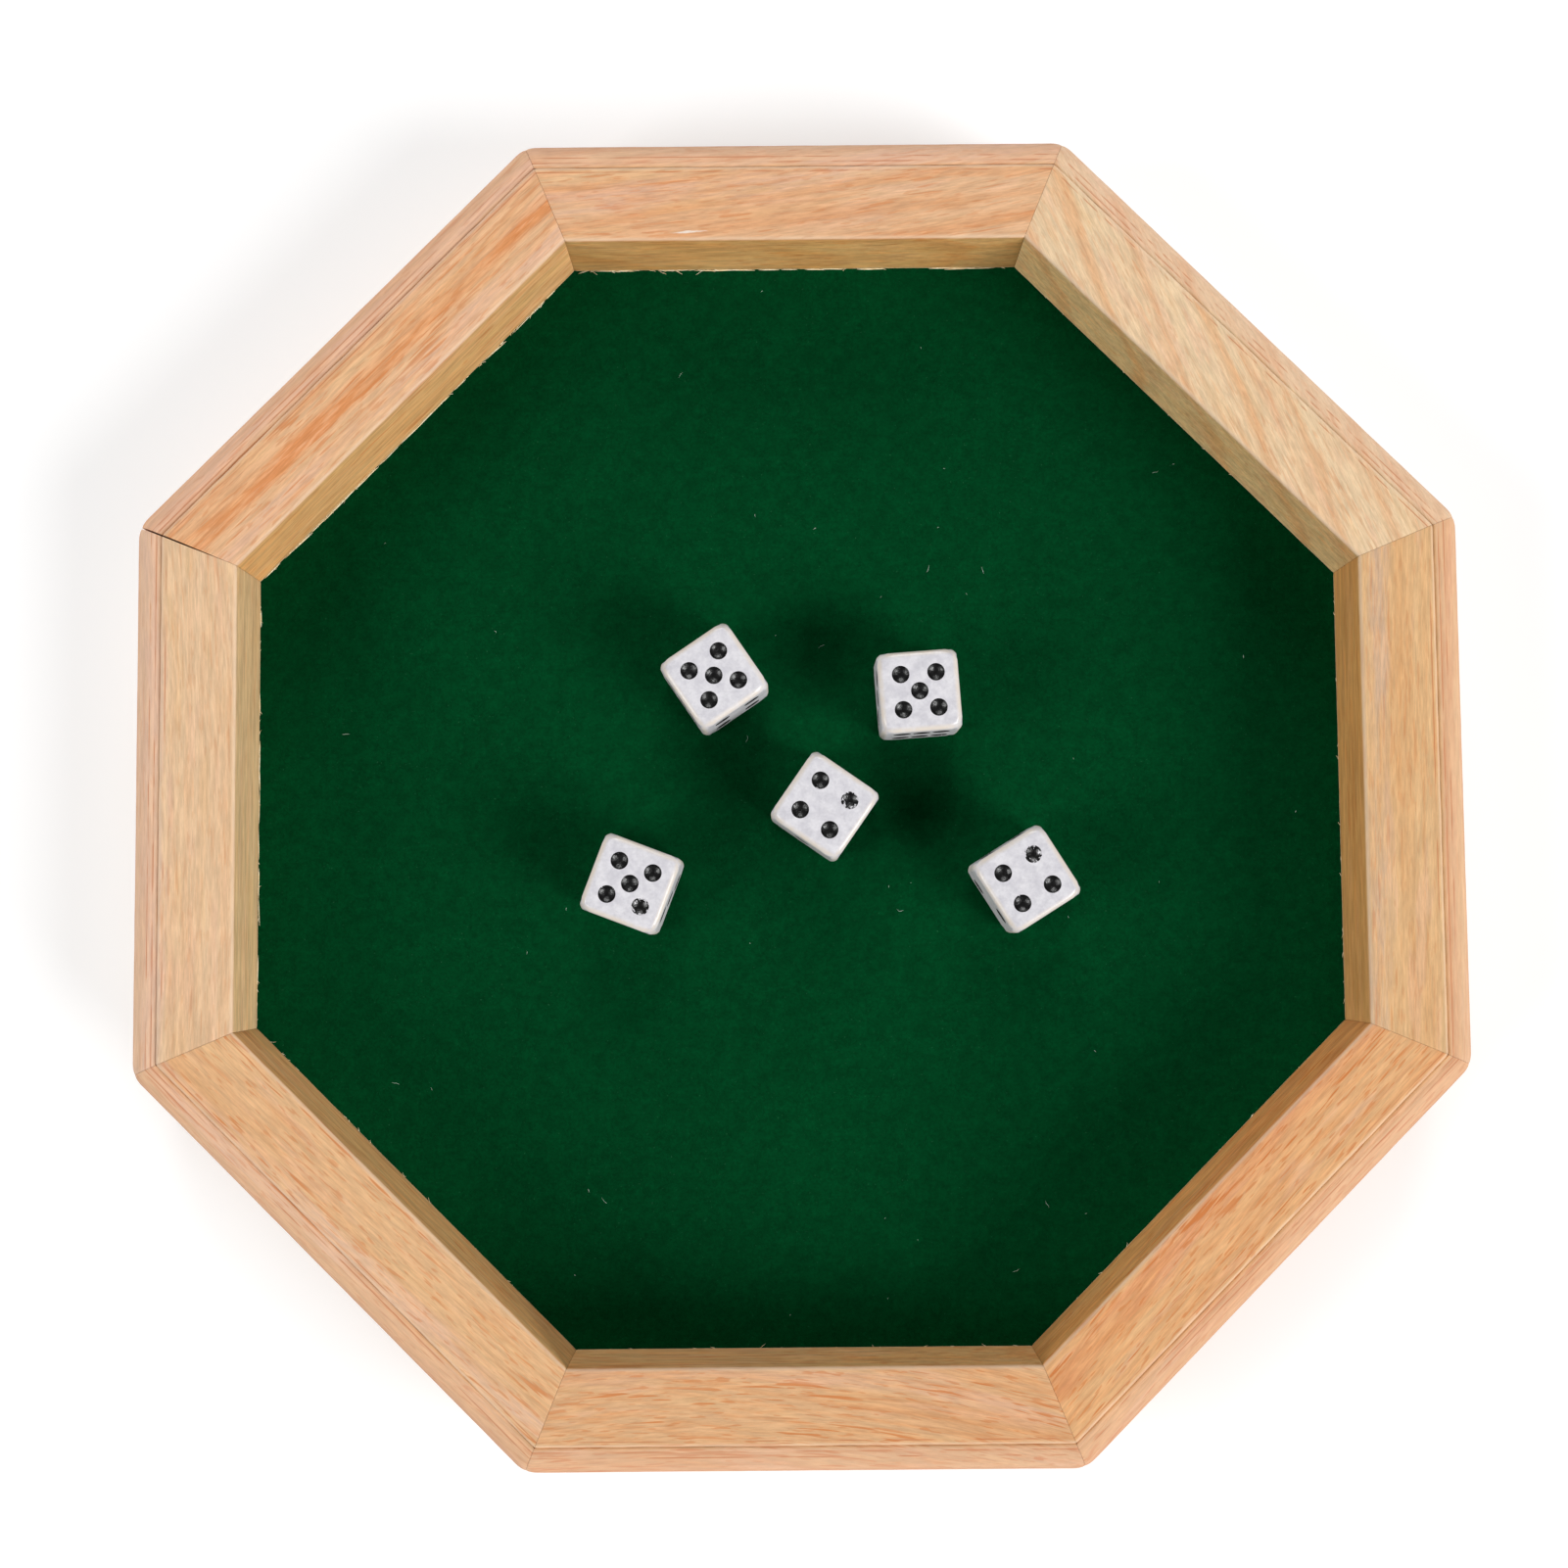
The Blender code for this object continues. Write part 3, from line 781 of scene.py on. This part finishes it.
def rail_mesh(index):
    """One rail in its own axes: X across, Y along."""
    section = moulding()
    normals = outward_normals(section)
    points = []
    for share in station_shares():
        angle = share * CORNER_ANGLE
        to_end = (1 - abs(share)) * INNER * CORNER_ANGLE
        ease = MITRE_EASE * max(0.0, 1 - to_end / MITRE_EASE_LENGTH) ** 2
        for (across, up), (out, rise) in zip(section, normals):
            wave = noise.noise(Vector((angle * 30 + 9 * index, across * 260, up * 260)))
            move = WAVE_HEIGHT * wave - ease
            radius = plan_radius(across + out * move, angle)
            turn = angle - share * asin(mitre_gap(index, share, radius) / radius)
            points.append(polar(radius, turn, max(0.0, up + rise * move)))
    faces = [face[::-1] for face in shell(STATIONS + 1, len(section))]
    return mesh_from(f"rail_{SIDES[index]}", points, faces)


def vee(thickness, leg):
    """A V in plan, its point at the origin and its mouth towards +X."""
    half = thickness / 2
    back = half / sin(NAIL_HALF_ANGLE)
    outline = [(back, 0)]
    for side in (1, -1):
        along = Vector(polar(1, side * NAIL_HALF_ANGLE))
        across = Vector((-along.y, along.x)) * half * side
        ends = [along * leg - across, along * leg + across]
        outline += [tuple(end) for end in ends[::side]]
        if side == 1:
            outline.append((-back, 0))
    return outline


def nail_slot(end):
    """The cut that a V-nail makes at one end of a rail."""
    slot = prism(vee(NAIL_THICKNESS + 0.12 * MM, NAIL_LEG + 0.1 * MM), -1 * MM, 7.4 * MM)
    angle = end * CORNER_ANGLE
    return turned(slot, angle, polar(NAIL_RADIUS, angle, 0))


def pin_hole(end):
    outline = arc((PIN_APOTHEM, end * PIN_SPACING / 2), 0.66 * MM, 0, 330, 11)
    return prism(outline, 3 * MM, 16.7 * MM)


def near(values, target, reach):
    return np.clip(1 - np.abs(values - target) / reach, 0, 1)


def mark_rail(mesh):
    """Store a rail's own coordinates on its points, where its arrises are worn and painted with a
    highlight, and where shade is painted in the crease of the step.
    """
    points = np.zeros(len(mesh.vertices) * 3, np.float32)
    mesh.vertices.foreach_get("co", points)
    points = points.reshape(-1, 3)
    grain = mesh.attributes.new("grain", "FLOAT_VECTOR", "POINT")
    grain.data.foreach_set("vector", points[:, [1, 0, 2]].ravel())
    across, up = points[:, 0], points[:, 2]
    # the arrises are paler: sanded wear and a painted highlight
    inner = near(across, INNER + 0.25 * MM, 0.5 * MM)
    outer = near(across, QUIRK - 0.25 * MM, 0.5 * MM)
    worn = np.maximum(inner, outer) * (up > RIM - 0.6 * ARRIS_RADIUS)
    # painted shade in the crease at the foot of the step and along the notch
    foot = RIM - QUIRK_DEPTH
    step = near(across, QUIRK + 0.03 * MM, 0.2 * MM) * near(up, foot, 0.3 * MM)
    notch = near(across, OUTER - OVOLO_RADIUS + 0.1 * MM, 0.2 * MM) * near(up, foot, 0.4 * MM)
    store(mesh, "POINT", worn=worn, dirt=np.maximum(step, 0.7 * notch))


def make_rails():
    for index, side in enumerate(SIDES):
        tools = [nail_slot(1), nail_slot(-1), pin_hole(1), pin_hole(-1)]
        mesh = cut(rail_mesh(index), joined(tools))
        mark_rail(mesh)
        smooth(mesh, 32)
        turned(mesh, index * SIDE_ANGLE)
        add_piece(f"pine_rail_{side}", mesh, pine(index, side), "tray", "pine", f"rail_{side}")


# ---------------- panel, felt and fasteners

def make_panel():
    reach = PANEL_BOX[1].x / cos(CORNER_ANGLE)
    outline = [polar(reach, CORNER_ANGLE + i * SIDE_ANGLE) for i in range(len(SIDES))]
    holes = [turned(pin_hole(end), i * SIDE_ANGLE) for i in range(len(SIDES)) for end in (-1, 1)]
    mesh = cut(prism(outline, PANEL_BOX[0].z, PANEL_BOX[1].z), joined(holes))
    piece = add_piece("plywood_panel", mesh, plywood_material(), "tray", "plywood", "base_panel")
    bevel(piece, PANEL_EASE, 50)


def make_felt():
    """An octagon of felt whose top rises and falls a little."""
    apothem = FELT_BOX[1].x
    shape = bmesh.new()
    bmesh.ops.create_grid(shape, x_segments=FELT_GRID, y_segments=FELT_GRID, size=apothem * 1.1)
    for index in range(len(SIDES)):
        outward = Vector(polar(1, index * SIDE_ANGLE, 0))
        parts = shape.verts[:] + shape.edges[:] + shape.faces[:]
        bmesh.ops.bisect_plane(shape, geom=parts, plane_co=outward * apothem, plane_no=outward,
                               clear_outer=True)
    for vert in shape.verts:
        waves = [height * noise.noise(vert.co * pace) for pace, height in FELT_WAVES]
        vert.co.z = FELT_TOP + sum(waves)
    edges = [edge for edge in shape.edges if edge.is_boundary]
    walls = bmesh.ops.extrude_edge_only(shape, edges=edges)["geom"]
    foot = {part for part in walls if isinstance(part, bmesh.types.BMVert)}
    for vert in foot:
        vert.co.z = PANEL_BOX[1].z + 0.05 * MM
    edges = [part for part in walls if isinstance(part, bmesh.types.BMEdge)]
    edges = [edge for edge in edges if foot.issuperset(edge.verts)]
    bmesh.ops.contextual_create(shape, geom=edges)
    bmesh.ops.recalc_face_normals(shape, faces=shape.faces)
    mesh = mesh_of("green_felt", shape)
    smooth(mesh, 50)
    piece = add_piece("green_felt", mesh, felt_material(), "tray", "felt", "felt_lining")


def pin_mesh():
    """A panel pin standing on its head: domed head, rings above it, and a sharp point."""
    radius, head, length = 0.6 * MM, 1.2 * MM, 13 * MM
    outline = [(0.0, -0.5 * MM), (0.5 * MM, -0.48 * MM), (0.95 * MM, -0.38 * MM), (head, -0.2 * MM),
               (head, -0.05 * MM), (1.1 * MM, 0.0), (radius * 1.05, 0.08 * MM)]
    for ring in range(6):
        base = (0.6 + ring * 0.45) * MM
        outline += [(radius, base), (radius * 0.9, base + 0.12 * MM), (radius, base + 0.24 * MM)]
    outline += [(radius, length - 1.8 * MM), (0.32 * MM, length - 0.8 * MM), (0.0, length)]
    return lathe("pin", outline, 20)


def lathe(name, outline, sides):
    """A turned solid; the outline starts and ends on the axis."""
    points = [(0, 0, outline[0][1])]
    for radius, height in outline[1:-1]:
        points += [polar(radius, 2 * pi * k / sides, height) for k in range(sides)]
    points.append((0, 0, outline[-1][1]))
    last = len(points) - 1
    faces = [tuple(1 + i for i in face) for face in shell(len(outline) - 2, sides)[2:]]
    for k in range(sides):
        after = (k + 1) % sides
        faces.append((0, 1 + after, 1 + k))
        faces.append((last, last - sides + k, last - sides + after))
    return mesh_from(name, points, faces)


def make_pins(material):
    ends = [(index, end) for index in range(len(SIDES)) for end in (-1, 1)]
    for number, (index, end) in enumerate(ends, 1):
        node = f"panel_pin_{number:02d}"
        mesh = pin_mesh()
        smooth(mesh, 40)
        place = Vector((PIN_APOTHEM, end * PIN_SPACING / 2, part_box(node)[0].z + PIN_HEAD_HEIGHT))
        place.rotate(Matrix.Rotation(index * SIDE_ANGLE, 3, "Z"))
        mesh.transform(Matrix.Translation(place))
        add_piece(f"steel_pin_{number:02d}", mesh, material, "tray", "steel", node)


def nail_mesh():
    """A V-nail: bent strip steel with an eased lower edge and a sharp upper one."""
    lower = vee(NAIL_THICKNESS * 0.8, NAIL_LEG - 0.1 * MM)
    full = vee(NAIL_THICKNESS, NAIL_LEG)
    upper = vee(NAIL_THICKNESS * 0.3, NAIL_LEG - 0.15 * MM)
    levels = [
        (lower, 0.0), (full, 0.12 * MM), (full, NAIL_HEIGHT - 1.1 * MM), (upper, NAIL_HEIGHT)
    ]
    points = [(x, y, z) for outline, z in levels for x, y in outline]
    return mesh_from("nail", points, shell(len(levels), len(full)))


def make_nails(material):
    for index in range(len(SIDES)):
        node = f"corner_nail_{index + 1}"
        angle = index * SIDE_ANGLE + CORNER_ANGLE
        mesh = turned(nail_mesh(), angle, polar(NAIL_RADIUS, angle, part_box(node)[0].z))
        piece = add_piece(f"steel_v_nail_{index + 1}", mesh, material, "tray", "steel", node)
        bevel(piece, NAIL_EASE, 30)


# ---------------- dice

def pip_places(number):
    """Pips of one number as offsets across and along its face."""
    if number == 6:
        rows = (-SIX_ROW_OFFSET, 0, SIX_ROW_OFFSET)
        return [(x, y) for x in rows for y in (-PIP_OFFSET, PIP_OFFSET)]
    places = [(0, 0)] if number % 2 else []
    if number > 1:
        places += [(PIP_OFFSET, PIP_OFFSET), (-PIP_OFFSET, -PIP_OFFSET)]
    if number > 3:
        places += [(-PIP_OFFSET, PIP_OFFSET), (PIP_OFFSET, -PIP_OFFSET)]
    return places


def face_axes(number):
    """Two axes in the plane of a face: the first is the row direction of the six."""
    outward = FACES[number]
    across = Vector((0, 1, 0)) if abs(outward.x) > 0.5 else Vector((1, 0, 0))
    along = Vector((0, 1, 0)) if abs(outward.z) > 0.5 else Vector((0, 0, 1))
    return (-across if number == 2 else across), along


def pip_centres():
    """Centre of every pip on the die's faces, with the face's direction."""
    for number, outward in FACES.items():
        across, along = face_axes(number)
        for x, y in pip_places(number):
            yield outward * DIE_SIZE / 2 + across * x + along * y, outward


def pip_tool():
    """The ball ends that drill the pips, as one mesh."""
    ball = (PIP_RADIUS**2 + PIP_DEPTH**2) / (2 * PIP_DEPTH)
    shape = bmesh.new()
    for centre, outward in pip_centres():
        turn = Vector((0, 0, 1)).rotation_difference(outward).to_matrix().to_4x4()
        place = Matrix.Translation(centre + outward * (ball - PIP_DEPTH)) @ turn
        bmesh.ops.create_uvsphere(shape, u_segments=40, v_segments=28, radius=ball, matrix=place)
    return mesh_of("pips", shape)


def die_lines():
    """Grid lines on one face of the die: even over the flat, closer round the edge."""
    around = [tan(radians(45) * step / EDGE_STEPS) for step in range(1, EDGE_STEPS + 1)]
    edge = [DIE_FLAT + DIE_EDGE_RADIUS * share for share in around]
    inside = [DIE_FLAT * (2 * step / FLAT_STEPS - 1) for step in range(FLAT_STEPS + 1)]
    return [-place for place in reversed(edge)] + inside + edge


def die_point(point):
    """A point of the cube's surface, moved onto the rounded edges and tumbled corners."""
    core = Vector([min(DIE_FLAT, max(-DIE_FLAT, part)) for part in point])
    point = core + (point - core).normalized() * DIE_EDGE_RADIUS
    over = point.length - DIE_CORNER_REACH
    if over > 0:
        point *= (DIE_CORNER_REACH + over * DIE_CORNER_KEEP) / point.length
    return point


def die_blank():
    """A cube with rounded edges and tumbled corners."""
    lines = die_lines()
    shape = bmesh.new()
    for outward in FACES.values():
        across = Vector((outward.y, outward.z, outward.x))
        along = outward.cross(across)
        middle = outward * DIE_SIZE / 2
        grid = [
            [shape.verts.new(die_point(middle + across * u + along * v)) for v in lines]
            for u in lines
        ]
        for row, after in zip(grid, grid[1:]):
            for j in range(len(lines) - 1):
                shape.faces.new((row[j], after[j], after[j + 1], row[j + 1]))
    bmesh.ops.remove_doubles(shape, verts=shape.verts, dist=0.001 * MM)
    bmesh.ops.recalc_face_normals(shape, faces=shape.faces)
    return mesh_of("die", shape)


def die_turn(top, side, heading):
    """Rotation that puts one number on top and another facing a heading."""
    local = Matrix((FACES[side], FACES[top].cross(FACES[side]), FACES[top]))
    facing = Vector(polar(1, heading, 0))
    up = Vector((0, 0, 1))
    world = Matrix((facing, up.cross(facing), up)).transposed()
    return (world @ local).to_4x4()


def mark_pips(mesh, chipped):
    """Store on each face corner if it is painted or on the chipped pip, and how near the rim."""
    centres = list(pip_centres())
    paint, rim, worn = np.zeros((3, len(mesh.loops)))
    for polygon in mesh.polygons:
        for number, (centre, outward) in enumerate(centres):
            away = polygon.center - centre
            depth = -away.dot(outward)
            beside = (away + outward * depth).length
            if 0.01 * MM < depth < 1.2 * PIP_DEPTH and beside < PIP_RADIUS:
                for loop in polygon.loop_indices:
                    corner = mesh.vertices[mesh.loops[loop].vertex_index].co - centre
                    corner -= outward * corner.dot(outward)
                    paint[loop] = 1
                    rim[loop] = corner.length / PIP_RADIUS
                    worn[loop] = number == chipped
                break
    store(mesh, "CORNER", paint=paint, rim=rim, chipped=worn)


def mark_edges(mesh):
    """Store on each point how far it is round one of the die's rounded edges, from 0 to 1."""
    middles = np.array([sorted(abs(part) for part in vertex.co)[1] for vertex in mesh.vertices])
    store(mesh, "POINT", edge=np.clip((middles - DIE_FLAT) / (0.6 * DIE_EDGE_RADIUS), 0, 1))


def make_dice():
    material = dice_material()
    master = cut(die_blank(), pip_tool())
    for name, (top, side, heading) in DICE.items():
        mesh = master.copy()
        mark_pips(mesh, CHIPPED_PIPS.get(name))
        mark_edges(mesh)
        smooth(mesh, 35)
        low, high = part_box(name)
        centre = (low + high) / 2 - Vector((0, 0, DIE_SINK))
        mesh.transform(Matrix.Translation(centre) @ die_turn(top, side, radians(heading)))
        piece = add_piece(f"white_{name}", mesh, material, name, "dice_plastic", name)
        even = piece.modifiers.new("flat faces", "WEIGHTED_NORMAL")
        even.keep_sharp = True
        even.weight = 80
    bpy.data.meshes.remove(master)


# ---------------- loose fibres

def wandering(start, heading, length, bend, rise, rng, steps=5):
    """A short curved route that starts at a point and stays near the felt."""
    route = [start]
    for step in range(steps):
        heading += rng.uniform(-bend, bend)
        lift = rise * sin(pi * (step + 1) / steps) * rng.uniform(0.3, 1.0)
        ahead = route[-1] + Vector(polar(length / steps, heading, 0))
        route.append(Vector((ahead.x, ahead.y, start.z + lift)))
    return route


def make_lint():
    """White lint that has settled on the felt."""
    rng = random.Random(LINT_SEED)
    routes = []
    while len(routes) < LINT_COUNT:
        place = Vector((rng.uniform(-1, 1), rng.uniform(-1, 1), 0)) * INNER
        if place.length > INNER * 0.97:
            continue
        place.z = FELT_TOP + 0.09 * MM
        length = rng.choice((0.35, 0.5, 0.7, 1.6)) * MM
        radius = rng.uniform(0.03, 0.055) * MM
        route = wandering(place, rng.uniform(0, 2 * pi), length, 0.7, 0.12 * MM, rng)
        routes.append((route, radius))
    material = fibre_material("lint", (226, 236, 226), (170, 200, 178))
    add_piece("felt_lint", tubes("lint", routes), material, "tray", "felt")


def make_torn_fibres():
    """Whiskers and slivers of torn wood where the inner walls meet the felt."""
    rng = random.Random(TORN_SEED)
    routes = []
    half = INNER * tan(CORNER_ANGLE)
    for index, side in enumerate(SIDES):
        turn = Matrix.Rotation(index * SIDE_ANGLE, 3, "Z")
        for _ in range(WHISKERS[side]):
            along = rng.uniform(-half, half) * 0.97
            if side == "back" and rng.random() < 0.5:
                along = rng.uniform(0.35, 0.95) * half
            height = LIP + rng.uniform(-0.15, 0.35) * MM
            start = Vector((INNER + 0.1 * MM, along, height))
            heading = pi / 2 * rng.choice((-1, 1))
            heading += rng.uniform(-0.15, 0.4) * rng.choice((-1, 1))
            if cos(heading) > 0.1:
                heading = pi - heading
            length = rng.uniform(0.4, 1.5) * MM
            if side == "back" and along > 0.3 * half:
                length *= 1.9
            route = wandering(start, heading, length, 0.25, 0.15 * MM, rng)
            routes.append(([turn @ point for point in route], rng.uniform(0.035, 0.08) * MM))
        for _ in range(SLIVERS.get(side, 0)):
            along = rng.uniform(-half, half) * 0.92
            start = Vector((INNER - 0.02 * MM, along, FELT_TOP + rng.uniform(0.15, 0.35) * MM))
            heading = pi / 2 * rng.choice((-1, 1)) + rng.uniform(-0.02, 0.02)
            route = wandering(start, heading, rng.uniform(3, 7) * MM, 0.02, 0.08 * MM, rng)
            routes.append(([turn @ point for point in route], rng.uniform(0.09, 0.17) * MM))
    material = fibre_material("torn_pine", (250, 238, 208), (236, 212, 166))
    add_piece("torn_wall_fibres", tubes("torn_fibres", routes), material, "tray", "pine")


# ---------------- stage, light and camera

def make_floor():
    """A pale floor that glows a little, so that shadows on it stay light."""
    graph = Graph("floor")
    tone = graph.ease(graph.noise(graph.position(), 3, 2.0), 0.3, 0.7, 0.97, 1.0)
    material = graph.finish(
        base_color=graph.tone((FLOOR_SHARE, FLOOR_SHARE, FLOOR_SHARE, 1), tone),
        roughness=0.9,
        emission_color=WHITE,
        emission_strength=FLOOR_GLOW,
    )
    bpy.ops.mesh.primitive_plane_add(size=FLOOR_SIZE, location=(0, 0, -FLOOR_GAP))
    floor = bpy.context.object
    floor.name = "floor"
    floor.data.materials.append(material)


def make_light(name, azimuth, share):
    """A broad soft light, far away; azimuth in degrees from +X."""
    light = bpy.data.lights.new(name, "SUN")
    light.angle = LIGHT_WIDTH
    light.energy = share * LIGHT_LEVEL * pi / sin(LIGHT_ELEVATION)
    lamp = placed(name, light)
    flat = cos(LIGHT_ELEVATION)
    source = Vector(polar(flat, radians(azimuth), sin(LIGHT_ELEVATION)))
    lamp.location = source
    lamp.rotation_euler = (-source).to_track_quat("-Z", "Y").to_euler()


def make_studio():
    """The lights, an even fill, and a white backdrop that only the camera sees."""
    for name, (azimuth, share) in LIGHTS.items():
        make_light(name, azimuth, share)
    world = bpy.data.worlds.new("studio")
    world.use_nodes = True
    tree = world.node_tree
    fill = tree.nodes["Background"]
    backdrop = tree.nodes.new("ShaderNodeBackground")
    for shader, level in ((fill, FILL_LEVEL), (backdrop, 1.0)):
        shader.inputs["Color"].default_value = WHITE
        shader.inputs["Strength"].default_value = level
    seen = tree.nodes.new("ShaderNodeLightPath").outputs["Is Camera Ray"]
    either = tree.nodes.new("ShaderNodeMixShader")
    for socket, end in zip(either.inputs, (seen, fill.outputs[0], backdrop.outputs[0])):
        tree.links.new(end, socket)
    tree.links.new(either.outputs[0], tree.nodes["World Output"].inputs["Surface"])
    bpy.context.scene.world = world
    bpy.context.scene.view_settings.view_transform = "Standard"


def make_camera():
    """Almost straight above, a little towards the front."""
    data = bpy.data.cameras.new("camera")
    data.lens = CAMERA_LENS
    data.sensor_width = 36
    camera = placed("camera", data)
    camera.location = CAMERA_PLACE
    camera.rotation_euler = [radians(angle) for angle in CAMERA_TURN]
    bpy.context.scene.camera = camera


make_camera()
make_studio()
make_floor()
make_rails()
make_panel()
make_felt()
steel = steel_material()
make_pins(steel)
make_nails(steel)
make_dice()
make_lint()
make_torn_fibres()

bpy.context.view_layer.update()
